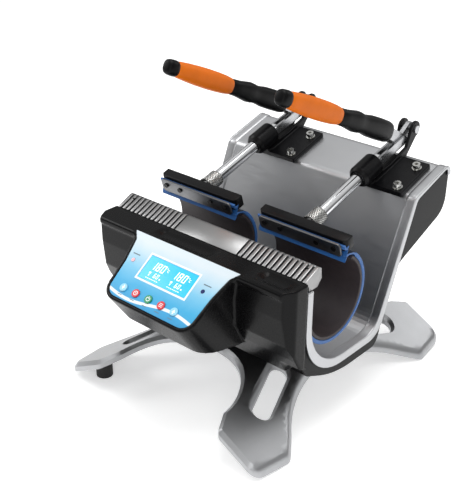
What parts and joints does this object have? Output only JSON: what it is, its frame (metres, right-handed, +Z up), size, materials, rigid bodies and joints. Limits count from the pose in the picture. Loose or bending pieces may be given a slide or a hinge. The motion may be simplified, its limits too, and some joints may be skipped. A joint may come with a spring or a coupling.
{
  "type": "mug heat press",
  "caption": "Bench mug heat press: side-by-side wrap-round heaters on a black and silver body, each closed by a push-pull toggle clamp, on an arched four-legged base.",
  "frame": {"origin": "centre of the bounding box at floor level, under the rubber feet", "axes": "+X to the machine's right seen from the control panel, along the mugs' axis; +Y to the rear; +Z up"},
  "size_m": [0.299, 0.3706, 0.3716],
  "materials": {
    "cast_plate": "satin",
    "brushed_cover": "brushed",
    "black_case": "satin moulded",
    "black_gloss": "glossy",
    "overlay": "printed film, fading from white to light blue",
    "window": "lit display",
    "key_blue": "satin",
    "key_red": "satin",
    "key_green": "satin",
    "lamp": "clear",
    "board": "solder mask",
    "rail_metal": "brushed",
    "dark_screw": "black oxide",
    "bright_screw": "plated",
    "silicone_blue": "matte",
    "lining_dark": "matte",
    "cast_black": "satin powder coat",
    "chrome_rod": "polished",
    "knurl": "knurled",
    "zinc_steel": "zinc plated",
    "grip_black": "satin",
    "grip_orange": "satin",
    "rubber_black": "matte",
    "rocker_red": "glossy"
  },
  "bodies": {
    "press": {"base_plate": "cast_plate", "rubber_feet": "rubber_black", "foot_screws": "bright_screw", "base_bolts": "bright_screw", "case_tray": "black_case", "left_cheek": "black_case", "right_cheek": "black_case", "body_cover": "brushed_cover", "left_trim": "brushed_cover", "right_trim": "brushed_cover", "front_housing": "black_gloss", "panel_overlay": "overlay", "lcd_screen": "window", "heat_led": "lamp", "power_led": "lamp", "control_board": "board", "front_rail": "rail_metal", "rail_screws": "dark_screw", "power_inlet": "black_case", "rocker_frame": "black_case", "left_lining": "lining_dark", "right_lining": "lining_dark", "left_jacket": "silicone_blue", "right_jacket": "silicone_blue", "left_bracket": "cast_black", "right_bracket": "cast_black", "bracket_washers": "bright_screw", "bracket_bolts": "bright_screw", "pivot_pins": "zinc_steel"},
    "key_down": {"key_down": "key_blue"},
    "key_timer": {"key_timer": "key_red"},
    "key_power": {"key_power": "key_green"},
    "key_set": {"key_set": "key_red"},
    "key_up": {"key_up": "key_blue"},
    "power_rocker": {"power_rocker": "rocker_red"},
    "left_lever_arm": {"left_lever": "zinc_steel", "left_grip": "grip_black", "left_grip_sleeve": "grip_orange", "left_bumper": "rubber_black"},
    "left_slider": {"left_plunger": "chrome_rod", "left_bar": "cast_black", "left_clamp_plate": "zinc_steel", "left_plate_screws": "dark_screw", "left_tongue": "silicone_blue"},
    "left_nut": {"left_collar": "knurl"},
    "left_link_pair": {"left_links": "zinc_steel"},
    "right_lever_arm": {"right_lever": "zinc_steel", "right_grip": "grip_black", "right_grip_sleeve": "grip_orange", "right_bumper": "rubber_black"},
    "right_slider": {"right_plunger": "chrome_rod", "right_bar": "cast_black", "right_clamp_plate": "zinc_steel", "right_plate_screws": "dark_screw", "right_tongue": "silicone_blue"},
    "right_nut": {"right_collar": "knurl"},
    "right_link_pair": {"right_links": "zinc_steel"}
  },
  "joints": [
    {"name": "key_down_press", "type": "slide", "parent": "press", "child": "key_down", "axis": [0, 0.5736, -0.8192], "range_m": [0, 0.001], "stiffness_N_per_m": 300},
    {"name": "key_timer_press", "type": "slide", "parent": "press", "child": "key_timer", "axis": [0, 0.5736, -0.8192], "range_m": [0, 0.001], "stiffness_N_per_m": 300},
    {"name": "key_power_press", "type": "slide", "parent": "press", "child": "key_power", "axis": [0, 0.5736, -0.8192], "range_m": [0, 0.001], "stiffness_N_per_m": 300},
    {"name": "key_set_press", "type": "slide", "parent": "press", "child": "key_set", "axis": [0, 0.5736, -0.8192], "range_m": [0, 0.001], "stiffness_N_per_m": 300},
    {"name": "key_up_press", "type": "slide", "parent": "press", "child": "key_up", "axis": [0, 0.5736, -0.8192], "range_m": [0, 0.001], "stiffness_N_per_m": 300},
    {"name": "power_rocker_tilt", "type": "hinge", "parent": "press", "child": "power_rocker", "pos_m": [-0.04, 0.16856, 0.215], "axis": [1, 0, 0], "range_deg": [0, 16]},
    {"name": "left_lever_hinge", "type": "hinge", "parent": "press", "child": "left_lever_arm", "pos_m": [-0.075, 0.17714, 0.26997], "axis": [-1, 0, 0], "range_deg": [0, 100]},
    {"name": "left_plunger_slide", "type": "slide", "parent": "press", "child": "left_slider", "axis": [0, 0.9578, 0.2874], "range_m": [0, 0.02132]},
    {"name": "left_link_hinge", "type": "hinge", "parent": "left_slider", "child": "left_link_pair", "pos_m": [-0.075, 0.11684, 0.24823], "axis": [1, 0, 0], "range_deg": [0, 31.24]},
    {"name": "left_collar_turn", "type": "hinge", "parent": "left_slider", "child": "left_nut", "pos_m": [-0.075, 0.00334, 0.21417], "axis": [0, 0.9578, 0.2874], "continuous": true},
    {"name": "right_lever_hinge", "type": "hinge", "parent": "press", "child": "right_lever_arm", "pos_m": [0.075, 0.17714, 0.26997], "axis": [-1, 0, 0], "range_deg": [0, 100]},
    {"name": "right_plunger_slide", "type": "slide", "parent": "press", "child": "right_slider", "axis": [0, 0.9578, 0.2874], "range_m": [0, 0.02132]},
    {"name": "right_link_hinge", "type": "hinge", "parent": "right_slider", "child": "right_link_pair", "pos_m": [0.075, 0.11684, 0.24823], "axis": [1, 0, 0], "range_deg": [0, 31.24]},
    {"name": "right_collar_turn", "type": "hinge", "parent": "right_slider", "child": "right_nut", "pos_m": [0.075, 0.00334, 0.21417], "axis": [0, 0.9578, 0.2874], "continuous": true}
  ],
  "couplings": [
    {"joint": "left_plunger_slide", "follows": "left_lever_hinge", "m_per_rad": 0.012218},
    {"joint": "left_link_hinge", "follows": "left_lever_hinge", "ratio": 0.31239},
    {"joint": "right_plunger_slide", "follows": "right_lever_hinge", "m_per_rad": 0.012218},
    {"joint": "right_link_hinge", "follows": "right_lever_hinge", "ratio": 0.31239}
  ]
}
